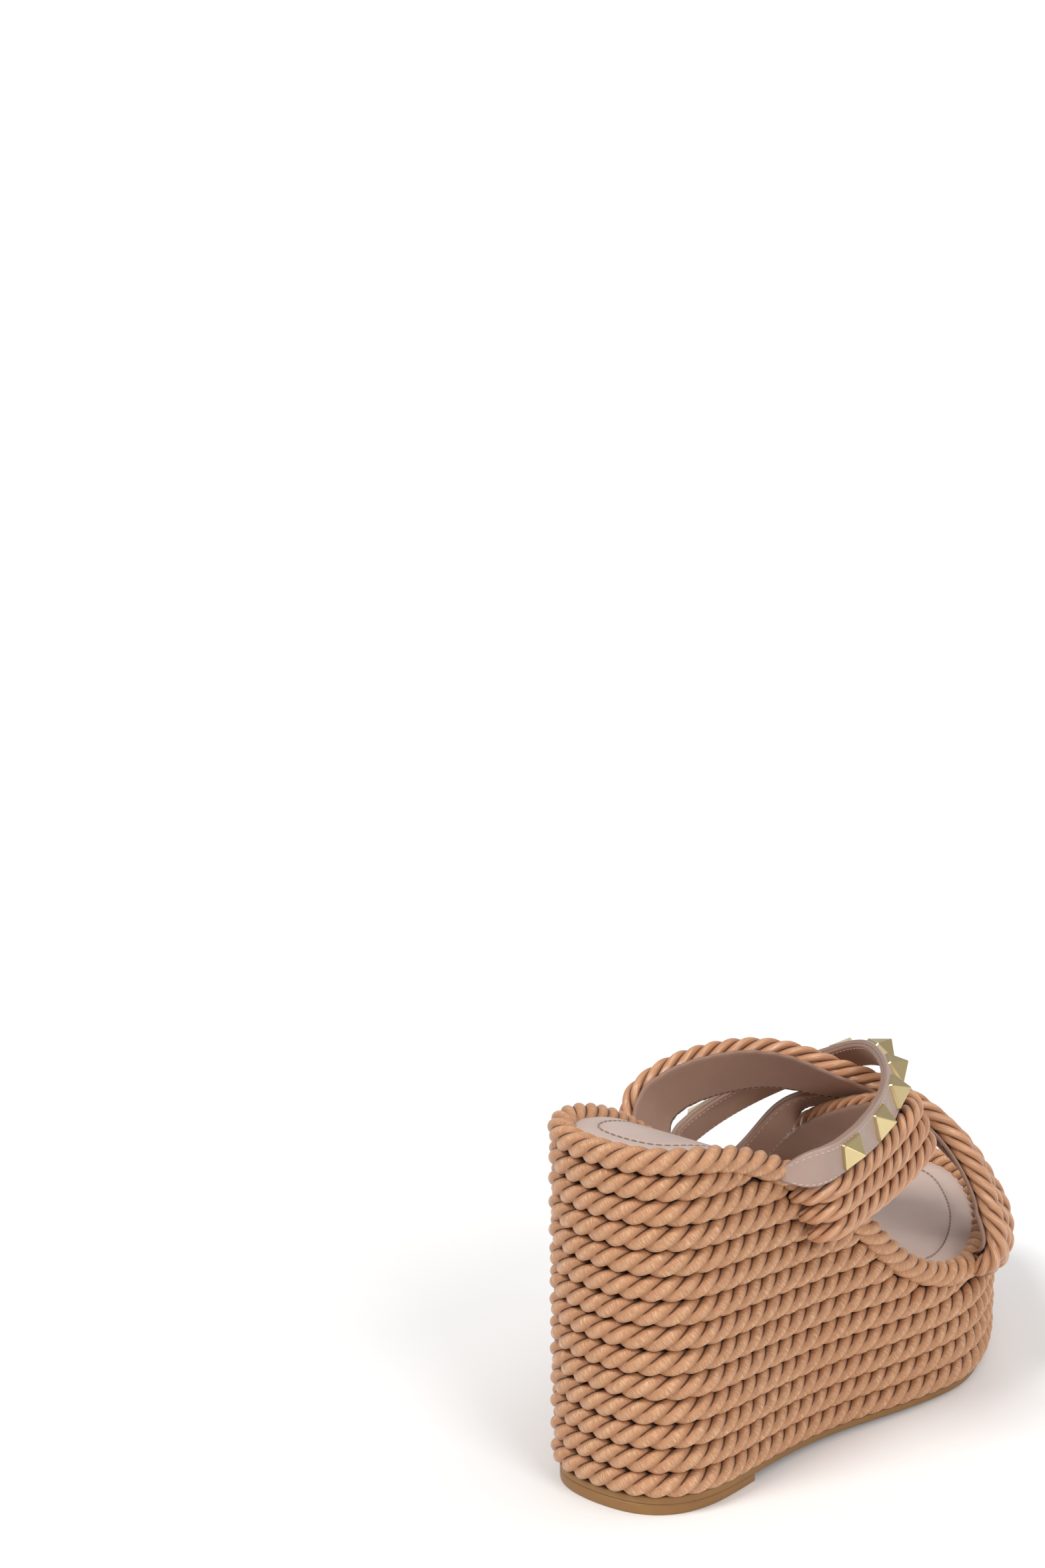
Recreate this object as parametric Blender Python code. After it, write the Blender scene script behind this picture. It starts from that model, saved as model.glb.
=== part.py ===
"""Wedge slide sandal for the right foot: toe towards +Y, outer side of the foot towards +X, ground at Z = 0.

A tall wedge wrapped in fourteen courses of twisted cord, two crossing bands of three cords each, two thin
studded leather straps, a leather covered footbed and a thin outsole with a thicker heel lift. Lengths below
are millimetres, laid out from the back of the heel.
"""
import bpy
import numpy as np

MM = 0.001
ORIGIN = (2.44, 111.69)  # plan centre of the whole sandal, which becomes X = Y = 0

# Cords
CORD_R = 4.35            # cord of the wedge and of the rim
BAND_CORD_R = 3.6        # thinner cord of the bands
GAP = 0.3                # clearance between neighbouring pieces
COURSE_PITCH = 9.0
COURSES = 14             # the first is the rim cord
LOWEST_COURSE_Z = 11.0
TIP_R = 1.4              # radius at which a tucked-in cord end stops

# Sole
OUTSOLE_T = 2.5
LIFT_END_Y = 46.0
RAKE = 0.027             # fall of the stack towards the ball of the foot
BALL_Y = 165.0
TOE_SPRING = 0.025

# Footbed layers
SOCK_T = 1.2
FOAM_T = 3.6
BOARD_T = 2.2
SOCK_ABOVE_RIM = 1.6     # height of the footbed surface over the centre of the rim cord

# Bands and straps
BAND_PITCH = 2 * BAND_CORD_R + 0.3
BAND_LINING_W, BAND_LINING_T = 23.0, 1.1
STRAP_W, STRAP_T, STRAP_LINING_T = 12.4, 1.3, 0.9
STUD_SIDE, STUD_SKIRT, STUD_H, STUD_GAP = 9.0, 1.1, 5.4, 0.5

# Outline of the cord centres round the foot: x, y at the lowest course, then x, y at the rim
OUTLINE = [
    (0, 1.5, 0, 0.5), (11, 3.5, 12, 2.5), (19.5, 9, 21, 8), (25, 18, 27, 17), (27.5, 30, 30.5, 29),
    (28, 44, 34, 43), (28.5, 58, 37, 56), (29.5, 72, 39.5, 70), (32, 88, 42, 85), (36, 104, 44.5, 101),
    (40.5, 120, 46.3, 118), (43.5, 134, 47.3, 133), (44.8, 148, 46.6, 148), (41.8, 163, 42.4, 163),
    (34.5, 179.5, 34.8, 180), (24.5, 195.5, 24.8, 196), (12, 209, 12.2, 209.8), (-1.5, 219, -1.5, 220),
    (-15, 221.5, -16, 223), (-27, 216, -29, 217), (-35, 204, -37.5, 204), (-39, 186, -41.5, 186),
    (-39.5, 166, -42, 166), (-38, 146, -41.5, 146), (-34.5, 126, -40, 126), (-31, 106, -38, 106),
    (-28.5, 86, -35.5, 86), (-28, 66, -33, 66), (-29, 46, -31, 46), (-29.3, 30, -30, 30),
    (-28, 15.5, -28, 15), (-20.5, 5.5, -20, 4.8), (-10, 2, -10, 1.2),
]
# Height of the rim cord along the foot: y, z
RIM = [
    (-6, 128.0), (12, 127.8), (24, 126.2), (36, 122.2), (48, 116.2), (60, 108.8), (72, 100.4), (82, 92.0),
    (90, 83.8), (98, 75.2), (108, 66.0), (120, 58.2), (134, 52.6), (150, 49.8), (170, 48.6), (190, 48.3),
    (210, 48.5), (230, 49.2),
]
# Middle cord of each band, and middle of each strap, from the heel side to the toe side
BAND_1 = [
    (-44, 71, 102), (-40, 81, 114), (-34, 95, 120), (-17, 124, 120), (-4, 136, 115), (10, 147, 110),
    (24, 154, 103), (35, 157, 95), (44, 159, 84), (50, 160, 73), (54, 160, 62), (54, 158, 52), (52, 154, 44),
]
BAND_2 = [
    (47, 45, 101), (50, 61, 102), (50, 77, 104), (49, 93, 106), (47, 107, 108), (44, 120, 110), (39, 128, 110),
    (29, 133, 107), (15, 137, 102), (0, 143, 95), (-16, 152, 86), (-31, 160, 76), (-44, 165, 64), (-52, 167, 49),
]
STRAP_A = [
    (43, 41, 118), (48, 50, 119), (50, 61, 120), (50, 74, 122), (47, 89, 123), (43, 102, 125), (35, 117, 126),
    (26, 129, 126), (10, 143, 124), (-7, 147, 117), (-23, 142, 109), (-36, 129, 101), (-43, 108, 93),
    (-43, 85, 85),
]
STRAP_B = [
    (-49, 127, 54), (-45, 128, 66), (-34, 130, 78), (-25, 133, 90), (-20, 139, 98), (-16, 147, 100),
    (-8, 155, 99), (2, 162, 97), (12, 167, 92), (22, 170, 84), (31, 173, 74), (39, 176, 61), (45, 179, 48),
]
# Stations left off the heel-side end of each cord of a band, rear, middle and front
BAND_CUTS = {1: (0, 0, 0), 2: (0, 2, 4)}
STUDS_A = (28.0, 51.0, 73.0, 93.0, 113.0, 133.0, 153.0, 173.0, 193.0)
STUDS_B = (40.0, 78.0, 98.0, 118.0, 137.0)


def spline(points, count, closed=False, start=0.0, end=1.0):
    """Cubic curve through the points, sampled at even lengths."""
    p = np.array(points, float)
    if closed:
        n = len(p)
        p = np.vstack([p, p, p, p[:1]])
    t = np.concatenate([[0], np.cumsum(np.linalg.norm(np.diff(p, axis=0), axis=1) ** 0.75)])
    h = np.diff(t)
    m = np.zeros((len(p), len(p)))
    rhs = np.zeros_like(p)
    m[0, 0] = m[-1, -1] = 1
    for i in range(1, len(p) - 1):
        m[i, i - 1:i + 2] = h[i - 1], 2 * (h[i - 1] + h[i]), h[i]
        rhs[i] = 6 * ((p[i + 1] - p[i]) / h[i] - (p[i] - p[i - 1]) / h[i - 1])
    bend = np.linalg.solve(m, rhs)
    first, last = (t[n], t[2 * n]) if closed else (t[0], t[-1])
    s = np.linspace(first, last, 1200)
    i = np.clip(np.searchsorted(t, s, side="right") - 1, 0, len(h) - 1)
    a, b, hi = t[i + 1] - s, s - t[i], h[i]
    a, b, hi = a[:, None], b[:, None], hi[:, None]
    dense = (bend[i] * a ** 3 + bend[i + 1] * b ** 3) / (6 * hi) \
        + (p[i] / hi - bend[i] * hi / 6) * a + (p[i + 1] / hi - bend[i + 1] * hi / 6) * b
    length = np.concatenate([[0], np.cumsum(np.linalg.norm(np.diff(dense, axis=0), axis=1))])
    at = np.linspace(start, end, count, endpoint=not closed) * length[-1]
    return np.stack([np.interp(at, length, dense[:, k]) for k in range(dense.shape[1])], axis=1)


RIM_CURVE = spline(RIM, 300)


def rim_z(y):
    return np.interp(y, RIM_CURVE[:, 0], RIM_CURVE[:, 1])


def steep(y):
    """Thickness of a sloping layer measured upright, over its true thickness."""
    slope = (rim_z(y + 1) - rim_z(y - 1)) / 2
    return float(np.sqrt(1 + slope ** 2))


def fall(y):
    """How far the stack sinks at y: even down to the ball, then a slight rise to the toe."""
    s = (BALL_Y - y + np.sqrt((BALL_Y - y) ** 2 + 100.0)) / 2
    return RAKE * s + TOE_SPRING * (s - (BALL_Y - y))


DATUM = LOWEST_COURSE_Z - CORD_R - GAP - OUTSOLE_T + fall(np.array(BALL_Y))


def settle(points):
    """Drops points onto the raked base."""
    out = np.array(points, float)
    out[:, 2] += fall(out[:, 1]) - DATUM
    return out


def loops(count=132):
    """Cord centres round the outline, at the lowest course and at the rim."""
    both = spline(OUTLINE, count, closed=True)
    return both[:, :2], both[:, 2:]


BASE_LOOP, RIM_LOOP = loops()


def inset(loop, by):
    """The plan loop moved towards its inside."""
    run = np.roll(loop, -1, 0) - np.roll(loop, 1, 0)
    run /= np.linalg.norm(run, axis=1)[:, None]
    return loop + by * np.stack([-run[:, 1], run[:, 0]], axis=1)


def width_at(loop, y):
    """x on the inner and the outer side of the foot at each y of a plan loop."""
    toe, heel = loop[:, 1].argmax(), loop[:, 1].argmin()
    turned = np.roll(loop, -heel, 0)
    toe = (toe - heel) % len(loop)
    outer, inner = turned[:toe + 1], np.vstack([turned[toe:], turned[:1]])[::-1]
    return np.interp(y, inner[:, 1], inner[:, 0]), np.interp(y, outer[:, 1], outer[:, 0])


def stations(loop, count, y_to=None):
    """y values along a loop, close together at its rounded ends."""
    lo, hi = loop[:, 1].min() + 0.02, loop[:, 1].max() - 0.02
    s = (1 - np.cos(np.linspace(0, np.pi, count))) / 2
    if y_to is not None:
        hi = y_to
        s = 1 - np.cos(np.linspace(0, np.pi / 2, count))
    return lo + (hi - lo) * s


# Blender objects

def clear_scene():
    for obj in list(bpy.data.objects):
        bpy.data.objects.remove(obj, do_unlink=True)
    for collection in list(bpy.data.collections):
        bpy.data.collections.remove(collection)


def material(name, colour, roughness=0.6, metallic=0.0):
    made = bpy.data.materials.new(name)
    made.use_nodes = True
    shader = made.node_tree.nodes["Principled BSDF"]
    shader.inputs["Base Color"].default_value = (*colour, 1.0)
    shader.inputs["Roughness"].default_value = roughness
    shader.inputs["Metallic"].default_value = metallic
    return made


def add(obj, collection, skin):
    obj.data.materials.append(skin)
    obj.location = (-ORIGIN[0] * MM, -ORIGIN[1] * MM, 0)
    collection.objects.link(obj)


def cord(name, points, radius, collection, skin, closed=False, radii=None):
    data = bpy.data.curves.new(name, "CURVE")
    data.dimensions = "3D"
    data.bevel_depth = radius * MM
    data.bevel_resolution = 2
    data.use_fill_caps = not closed
    line = data.splines.new("POLY")
    line.points.add(len(points) - 1)
    for i, p in enumerate(points):
        line.points[i].co = (*(float(v) * MM for v in p), 1.0)
        line.points[i].radius = 1.0 if radii is None else float(radii[i]) / radius
    line.use_cyclic_u = closed
    add(bpy.data.objects.new(name, data), collection, skin)


def loft(name, sections, collection, skin):
    """Closed solid through rings of equal count, capped at both ends."""
    sections = np.array(sections, float)
    rings, per = sections.shape[:2]
    verts = (sections.reshape(-1, 3) * MM).tolist()
    faces = [[r * per + i, r * per + (i + 1) % per, (r + 1) * per + (i + 1) % per, (r + 1) * per + i]
             for r in range(rings - 1) for i in range(per)]
    faces += [list(range(per))[::-1], [(rings - 1) * per + i for i in range(per)]]
    mesh = bpy.data.meshes.new(name)
    mesh.from_pydata(verts, [], faces)
    first = sections[0]
    normal = np.cross(first[1] - first[0], first[2] - first[1])
    if normal @ (sections[1].mean(0) - first.mean(0)) < 0:
        mesh.flip_normals()
    add(bpy.data.objects.new(name, mesh), collection, skin)


def slab(name, loop, top, bottom, collection, skin, count=26, y_to=None):
    """Footbed or sole layer: the outline loop between two height functions of y."""
    sections = []
    for y in stations(loop, count, y_to):
        inner, outer = (float(x) for x in width_at(loop, y))
        sections.append([(inner, y, bottom(y)), (outer, y, bottom(y)), (outer, y, top(y)), (inner, y, top(y))])
    loft(name, sections, collection, skin)


# Frames along the upper

def upper_frames(path):
    """Tangent, outward normal and toe-ward width direction along a band or strap."""
    tangent = np.gradient(path, axis=0)
    tangent /= np.linalg.norm(tangent, axis=1)[:, None]
    lean = np.radians(np.interp(path[:, 1], (60, 110, 170, 200), (53, 58, 38, 18)))
    side = np.clip(path[:, 0] / 50.0, -1, 1)
    up = np.sqrt(1 - side ** 2) + 0.02
    round_toe = np.interp(path[:, 1], (115, 160), (0, 0.4)) * side ** 2 * np.where(side > 0, 1, 0.15)
    out = np.stack([side, up * np.sin(lean) + round_toe, up * np.cos(lean)], axis=1)
    out -= (out * tangent).sum(1)[:, None] * tangent
    out /= np.linalg.norm(out, axis=1)[:, None]
    across = np.cross(tangent, out)
    toe_ward = np.sign(across[len(across) // 2, 1])
    return tangent, out, across * toe_ward


def ribbon(name, path, out, across, width, thick, lift, collection, skin):
    """Flat strip of leather whose mid surface is lifted off the path along the outward normal."""
    sections = []
    for p, n, w in zip(path, out, across):
        low, high = p + n * (lift - thick / 2), p + n * (lift + thick / 2)
        sections.append([low - w * width / 2, low + w * width / 2, high + w * width / 2, high - w * width / 2])
    loft(name, sections, collection, skin)


def stud(name, at, along, across, out, collection, skin):
    rings = []
    for height, half in ((0, STUD_SIDE / 2), (STUD_SKIRT, STUD_SIDE / 2 - 0.2), (STUD_H, 0.35)):
        rings.append([at + out * height + along * a * half + across * b * half
                      for a, b in ((-1, -1), (1, -1), (1, 1), (-1, 1))])
    loft(name, rings, collection, skin)


# Sub-parts

OUTSOLE_TOP = LOWEST_COURSE_Z - CORD_R - GAP
CORD_CLEARANCE = CORD_R + GAP


def raked(height):
    """Height function of y for a flat layer of the stack."""
    return lambda y: height + fall(y) - DATUM


def under_foot(drop):
    """Height function of y for a surface this far below the footbed, measured square to it."""
    return lambda y: float(rim_z(y)) + SOCK_ABOVE_RIM - drop * steep(y) + fall(y) - DATUM


def add_sole(home, skin):
    slab("outsole", inset(BASE_LOOP, -1.6), raked(OUTSOLE_TOP), raked(OUTSOLE_TOP - OUTSOLE_T), home, skin)
    slab("heel_lift", inset(BASE_LOOP, -0.8), raked(OUTSOLE_TOP - OUTSOLE_T - 0.2), lambda y: 0.0,
         home, skin, 14, LIFT_END_Y)


def add_courses(home, skin):
    """Rim cord and the courses under it; a course that meets the rim tapers and ends against it."""
    rim_path = settle(np.column_stack([RIM_LOOP, rim_z(RIM_LOOP[:, 1])]))
    cord("rim_rope", rim_path[::2], CORD_R, home, skin, closed=True)
    for course in range(2, COURSES + 1):
        name = f"rope_course_{course:02d}"
        z = LOWEST_COURSE_Z + (COURSES - course) * COURSE_PITCH
        rise = (z - LOWEST_COURSE_Z) / (rim_z(RIM_LOOP[:, 1]) - LOWEST_COURSE_Z)
        plan = BASE_LOOP + (RIM_LOOP - BASE_LOOP) * rise[:, None]
        path = settle(np.column_stack([plan, np.full(len(plan), z)]))
        room = np.linalg.norm(path[:, None] - rim_path[None], axis=2).min(1) - CORD_CLEARANCE
        room[rise > 1] = 0
        if room.min() >= CORD_R - 0.12:
            cord(name, path[::3], CORD_R, home, skin, closed=True)
            continue
        gone = np.flatnonzero(room < TIP_R)
        order = np.arange(gone.max() + 1, len(path) + gone.min())
        step = np.arange(len(order))
        keep = order[(step % 3 == 0) | (step < 4) | (step > len(order) - 5)] % len(path)
        cord(name, path[keep], CORD_R, home, skin, radii=np.minimum(room[keep], CORD_R))


def add_core(home, skin):
    inner_base, inner_rim = inset(BASE_LOOP, CORD_CLEARANCE + 0.8), inset(RIM_LOOP, CORD_CLEARANCE + 1.6)
    floor, roof = raked(OUTSOLE_TOP + GAP), under_foot(SOCK_T + FOAM_T + BOARD_T + 3 * GAP)
    sections = []
    for y in stations(inner_base, 28):
        low, high = width_at(inner_base, y), width_at(inner_rim, y)
        sections.append([(low[0], y, floor(y)), (low[1], y, floor(y)),
                         (high[1], y, roof(y)), (high[0], y, roof(y))])
    loft("wedge_core", sections, home, skin)


def add_footbed(home, sock, foam, board):
    layers = (("sock_lining", 0.0, SOCK_T, 0.0, sock),
              ("footbed_foam", SOCK_T + GAP, FOAM_T, 1.0, foam),
              ("insole_board", SOCK_T + FOAM_T + 2 * GAP, BOARD_T, 1.5, board))
    for name, drop, thick, margin, skin in layers:
        slab(name, inset(RIM_LOOP, CORD_CLEARANCE + margin), under_foot(drop), under_foot(drop + thick),
             home, skin, 30)


def add_band(number, points, home, skin, lining):
    path = settle(spline(points, 28))
    _, out, across = upper_frames(path)
    for place, step, cut in zip(("rear", "mid", "front"), (-1, 0, 1), BAND_CUTS[number]):
        cord(f"band_{number}_rope_{place}", (path + across * step * BAND_PITCH)[cut:], BAND_CORD_R, home, skin)
    ribbon(f"band_{number}_lining", path[8:-6], out[8:-6], across[8:-6], BAND_LINING_W, BAND_LINING_T,
           -(BAND_CORD_R + GAP + BAND_LINING_T / 2), home, lining)


def add_strap(letter, points, studs, home, skin, lining, metal):
    path = settle(spline(points, 64))
    tangent, out, across = upper_frames(path)
    ribbon(f"strap_{letter}", path, out, across, STRAP_W, STRAP_T, STRAP_T / 2, home, skin)
    ribbon(f"strap_{letter}_lining", path, out, across, STRAP_W - 0.6, STRAP_LINING_T,
           -0.75 - STRAP_LINING_T / 2, home, lining)
    length = np.concatenate([[0], np.cumsum(np.linalg.norm(np.diff(path, axis=0), axis=1))])
    for count, at in enumerate(studs, 1):
        here, along, normal = (np.array([np.interp(at, length, field[:, k]) for k in range(3)])
                               for field in (path, tangent, out))
        along /= np.linalg.norm(along)
        normal -= along * (normal @ along)
        normal /= np.linalg.norm(normal)
        stud(f"stud_{letter}{count}", here + normal * (STRAP_T + STUD_GAP), along, np.cross(normal, along),
             normal, home, metal)


def build():
    clear_scene()
    home = bpy.data.collections.new("wedge_sandal")
    bpy.context.scene.collection.children.link(home)
    rope = material("rope_satin", (0.58, 0.32, 0.19), 0.42)
    leather = material("leather_upper", (0.52, 0.38, 0.33), 0.5)
    lining = material("leather_lining", (0.42, 0.30, 0.25), 0.6)
    metal = material("stud_metal", (0.72, 0.60, 0.36), 0.28, 1.0)
    add_sole(home, material("outsole_tan", (0.30, 0.16, 0.05), 0.5))
    add_courses(home, rope)
    add_core(home, material("wedge_cork", (0.42, 0.26, 0.14), 0.9))
    add_footbed(home, material("leather_footbed", (0.48, 0.36, 0.32), 0.55),
                material("footbed_foam", (0.75, 0.70, 0.60), 0.9),
                material("insole_board", (0.35, 0.25, 0.17), 0.85))
    add_band(1, BAND_1, home, rope, lining)
    add_band(2, BAND_2, home, rope, lining)
    add_strap("a", STRAP_A, STUDS_A, home, leather, lining, metal)
    add_strap("b", STRAP_B, STUDS_B, home, leather, lining, metal)


build()
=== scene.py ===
"""Looks of the wedge sandal: twisted satin cord, taupe leather straps and linings, pale gold studs, padded
footbed, tan sole, on a pale studio floor. Lengths are metres; route tables are millimetres from the heel."""

import math

import bpy
import numpy as np
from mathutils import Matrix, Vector


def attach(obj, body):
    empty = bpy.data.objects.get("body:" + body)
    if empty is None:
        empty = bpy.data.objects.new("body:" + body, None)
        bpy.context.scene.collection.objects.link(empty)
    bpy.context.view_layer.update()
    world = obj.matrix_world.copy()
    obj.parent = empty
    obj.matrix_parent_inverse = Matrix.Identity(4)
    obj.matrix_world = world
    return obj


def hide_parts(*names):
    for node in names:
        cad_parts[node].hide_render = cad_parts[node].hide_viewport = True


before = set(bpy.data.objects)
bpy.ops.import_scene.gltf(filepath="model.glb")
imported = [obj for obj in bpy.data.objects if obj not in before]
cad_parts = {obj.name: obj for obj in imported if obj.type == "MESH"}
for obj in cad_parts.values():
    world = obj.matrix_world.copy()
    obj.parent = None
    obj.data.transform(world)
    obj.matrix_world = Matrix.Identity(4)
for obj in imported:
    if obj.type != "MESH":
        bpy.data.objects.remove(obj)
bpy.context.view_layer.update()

MM = 0.001
ORIGIN = np.array([2.44, 111.69, 0.0])

# The same layout as the CAD part
CORD_R, GAP = 4.35, 0.3
COURSE_PITCH, COURSES, LOWEST_COURSE_Z = 9.0, 14, 11.0
OUTSOLE_T, LIFT_END_Y, RAKE, BALL_Y, TOE_SPRING = 2.5, 46.0, 0.027, 165.0, 0.025
SOCK_ABOVE_RIM = 1.6
BAND_PITCH, STUD_SIDE, STUD_H = 7.5, 9.0, 5.4
OUTLINE = [
    (0, 1.5, 0, 0.5), (11, 3.5, 12, 2.5), (19.5, 9, 21, 8), (25, 18, 27, 17), (27.5, 30, 30.5, 29),
    (28, 44, 34, 43), (28.5, 58, 37, 56), (29.5, 72, 39.5, 70), (32, 88, 42, 85), (36, 104, 44.5, 101),
    (40.5, 120, 46.3, 118), (43.5, 134, 47.3, 133), (44.8, 148, 46.6, 148), (41.8, 163, 42.4, 163),
    (34.5, 179.5, 34.8, 180), (24.5, 195.5, 24.8, 196), (12, 209, 12.2, 209.8), (-1.5, 219, -1.5, 220),
    (-15, 221.5, -16, 223), (-27, 216, -29, 217), (-35, 204, -37.5, 204), (-39, 186, -41.5, 186),
    (-39.5, 166, -42, 166), (-38, 146, -41.5, 146), (-34.5, 126, -40, 126), (-31, 106, -38, 106),
    (-28.5, 86, -35.5, 86), (-28, 66, -33, 66), (-29, 46, -31, 46), (-29.3, 30, -30, 30),
    (-28, 15.5, -28, 15), (-20.5, 5.5, -20, 4.8), (-10, 2, -10, 1.2),
]
RIM = [
    (-6, 128.0), (12, 127.8), (24, 126.2), (36, 122.2), (48, 116.2), (60, 108.8), (72, 100.4), (82, 92.0),
    (90, 83.8), (98, 75.2), (108, 66.0), (120, 58.2), (134, 52.6), (150, 49.8), (170, 48.6), (190, 48.3),
    (210, 48.5), (230, 49.2),
]
# Routes of the bands and straps, repeated from part.py. A scratch program fitted them to the photograph, and
# they were rounded to whole millimetres. They weren't chosen by hand.
BAND_1 = [
    (-44, 71, 102), (-40, 81, 114), (-34, 95, 120), (-17, 124, 120), (-4, 136, 115), (10, 147, 110),
    (24, 154, 103), (35, 157, 95), (44, 159, 84), (50, 160, 73), (54, 160, 62), (54, 158, 52), (52, 154, 44),
]
BAND_2 = [
    (47, 45, 101), (50, 61, 102), (50, 77, 104), (49, 93, 106), (47, 107, 108), (44, 120, 110),
    (39, 128, 110), (29, 133, 107), (15, 137, 102), (0, 143, 95), (-16, 152, 86), (-31, 160, 76),
    (-44, 165, 64), (-52, 167, 49),
]
STRAP_A = [
    (43, 41, 118), (48, 50, 119), (50, 61, 120), (50, 74, 122), (47, 89, 123), (43, 102, 125), (35, 117, 126),
    (26, 129, 126), (10, 143, 124), (-7, 147, 117), (-23, 142, 109), (-36, 129, 101), (-43, 108, 93),
    (-43, 85, 85),
]
STRAP_B = [
    (-49, 127, 54), (-45, 128, 66), (-34, 130, 78), (-25, 133, 90), (-20, 139, 98), (-16, 147, 100),
    (-8, 155, 99), (2, 162, 97), (12, 167, 92), (22, 170, 84), (31, 173, 74), (39, 176, 61), (45, 179, 48),
]
STUDS_A = (28.0, 51.0, 73.0, 93.0, 113.0, 133.0, 153.0, 173.0, 193.0)
STUDS_B = (40.0, 78.0, 98.0, 118.0, 137.0)

# Looks
ROPE_R = 4.85            # the wound cord presses on its neighbours
BAND_ROPE_R = 3.85
RIM_EASE = 0.1           # the rim cord is this much thinner
COURSE_INSET = 0.25      # the courses lie this much further in than in the CAD part
WEDGE_CORD = dict(strands=3, lay=21.0, plump=0.40)
BAND_CORD = dict(strands=4, lay=27.0, plump=0.54)
STRAP_W = 12.8
CLEAR_OF_RIM = 8.6       # a course that stays this far from the rim cord goes all the way round
INSIDE_RIM = 2.2         # a course stops where it comes this close to the rim cord
PLATE_EDGE = 0.5
# first number: leather darkening at the edge mark (strip edges; painted shade along the footbed's stitch
# line)
EDGE_DARKENING, GRAIN_DEPTH = 0.7, 0.05
STITCH_IN = 8.6          # from the edge of the footbed to its stitch line
BED_EDGE = CORD_R - 0.6  # from the centre of the rim cord to the edge of the footbed
GOLDEN_ANGLE = 2.399     # turns each course on from the last, so that their strands don't line up


# ---------------------------------------------------------------- routes

def spline(points, count, closed=False):
    """Cubic curve through the points, sampled at even lengths."""
    p = np.array(points, float)
    if closed:
        n = len(p)
        p = np.vstack([p, p, p, p[:1]])
    t = np.concatenate([[0], np.cumsum(np.linalg.norm(np.diff(p, axis=0), axis=1) ** 0.75)])
    h = np.diff(t)
    m = np.zeros((len(p), len(p)))
    rhs = np.zeros_like(p)
    m[0, 0] = m[-1, -1] = 1
    for i in range(1, len(p) - 1):
        m[i, i - 1:i + 2] = h[i - 1], 2 * (h[i - 1] + h[i]), h[i]
        rhs[i] = 6 * ((p[i + 1] - p[i]) / h[i] - (p[i] - p[i - 1]) / h[i - 1])
    bend = np.linalg.solve(m, rhs)
    first, last = (t[n], t[2 * n]) if closed else (t[0], t[-1])
    s = np.linspace(first, last, 2400)
    i = np.clip(np.searchsorted(t, s, side="right") - 1, 0, len(h) - 1)
    a, b, hi = (t[i + 1] - s)[:, None], (s - t[i])[:, None], h[i][:, None]
    dense = (bend[i] * a ** 3 + bend[i + 1] * b ** 3) / (6 * hi) \
        + (p[i] / hi - bend[i] * hi / 6) * a + (p[i + 1] / hi - bend[i + 1] * hi / 6) * b
    length = np.concatenate([[0], np.cumsum(np.linalg.norm(np.diff(dense, axis=0), axis=1))])
    at = np.linspace(0, 1, count, endpoint=not closed) * length[-1]
    return np.stack([np.interp(at, length, dense[:, k]) for k in range(dense.shape[1])], axis=1)


RIM_CURVE = spline(RIM, 400)


def rim_z(y):
    """Height of the centre of the rim cord, before the stack is lowered."""
    return np.interp(y, RIM_CURVE[:, 0], RIM_CURVE[:, 1])


def fall(y):
    """How much the stack drops down to the ball of the foot, then rises to the toe."""
    s = (BALL_Y - y + np.sqrt((BALL_Y - y) ** 2 + 100.0)) / 2
    return RAKE * s + TOE_SPRING * (s - (BALL_Y - y))


OUTSOLE_TOP = LOWEST_COURSE_Z - CORD_R - GAP
DATUM = OUTSOLE_TOP - OUTSOLE_T + fall(np.array(BALL_Y))


def settle(points):
    """Lowers points onto the ground with the stack."""
    out = np.array(points, float)
    out[:, 2] += fall(out[:, 1]) - DATUM
    return out


LOOPS = spline(OUTLINE, 600, closed=True)
BASE_LOOP, RIM_LOOP = LOOPS[:, :2], LOOPS[:, 2:]


def unit(v):
    return v / np.linalg.norm(v, axis=-1, keepdims=True)


def inset(loop, by):
    """Closed plan outline moved inwards."""
    run = unit(np.roll(loop, -1, 0) - np.roll(loop, 1, 0))
    return loop + by * np.stack([-run[:, 1], run[:, 0]], axis=1)


def width_at(loop, y):
    """X of the inner and the outer side of a plan outline."""
    toe, heel = loop[:, 1].argmax(), loop[:, 1].argmin()
    turned = np.roll(loop, -heel, 0)
    toe = (toe - heel) % len(loop)
    outer, inner = turned[:toe + 1], np.vstack([turned[toe:], turned[:1]])[::-1]
    return np.interp(y, inner[:, 1], inner[:, 0]), np.interp(y, outer[:, 1], outer[:, 0])


def run_length(path):
    """Length along the path up to each point."""
    return np.concatenate([[0], np.cumsum(np.linalg.norm(np.diff(path, axis=0), axis=1))])


def resample(path, step, closed=False):
    """The path at an even step, and its length."""
    p = np.vstack([path, path[:1]]) if closed else path
    length = run_length(p)
    count = max(4, int(round(length[-1] / step)))
    at = np.linspace(0, length[-1], count + 1)
    if closed:
        at = at[:-1]
    return np.stack([np.interp(at, length, p[:, k]) for k in range(p.shape[1])], axis=1), length[-1]


def upper_frames(path):
    """Unit vectors along a band or strap, out of the foot and across it."""
    tangent = unit(np.gradient(path, axis=0))
    lean = np.radians(np.interp(path[:, 1], (60, 110, 170, 200), (53, 58, 38, 18)))
    side = np.clip(path[:, 0] / 50.0, -1, 1)
    up = np.sqrt(1 - side ** 2) + 0.02
    round_toe = np.interp(path[:, 1], (115, 160), (0, 0.4)) * side ** 2 * np.where(side > 0, 1, 0.15)
    out = np.stack([side, up * np.sin(lean) + round_toe, up * np.cos(lean)], axis=1)
    out -= (out * tangent).sum(1)[:, None] * tangent
    out = unit(out)
    across = np.cross(tangent, out)
    return tangent, out, across * np.sign(across[len(across) // 2, 1])


# ---------------------------------------------------------------- meshes

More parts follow.
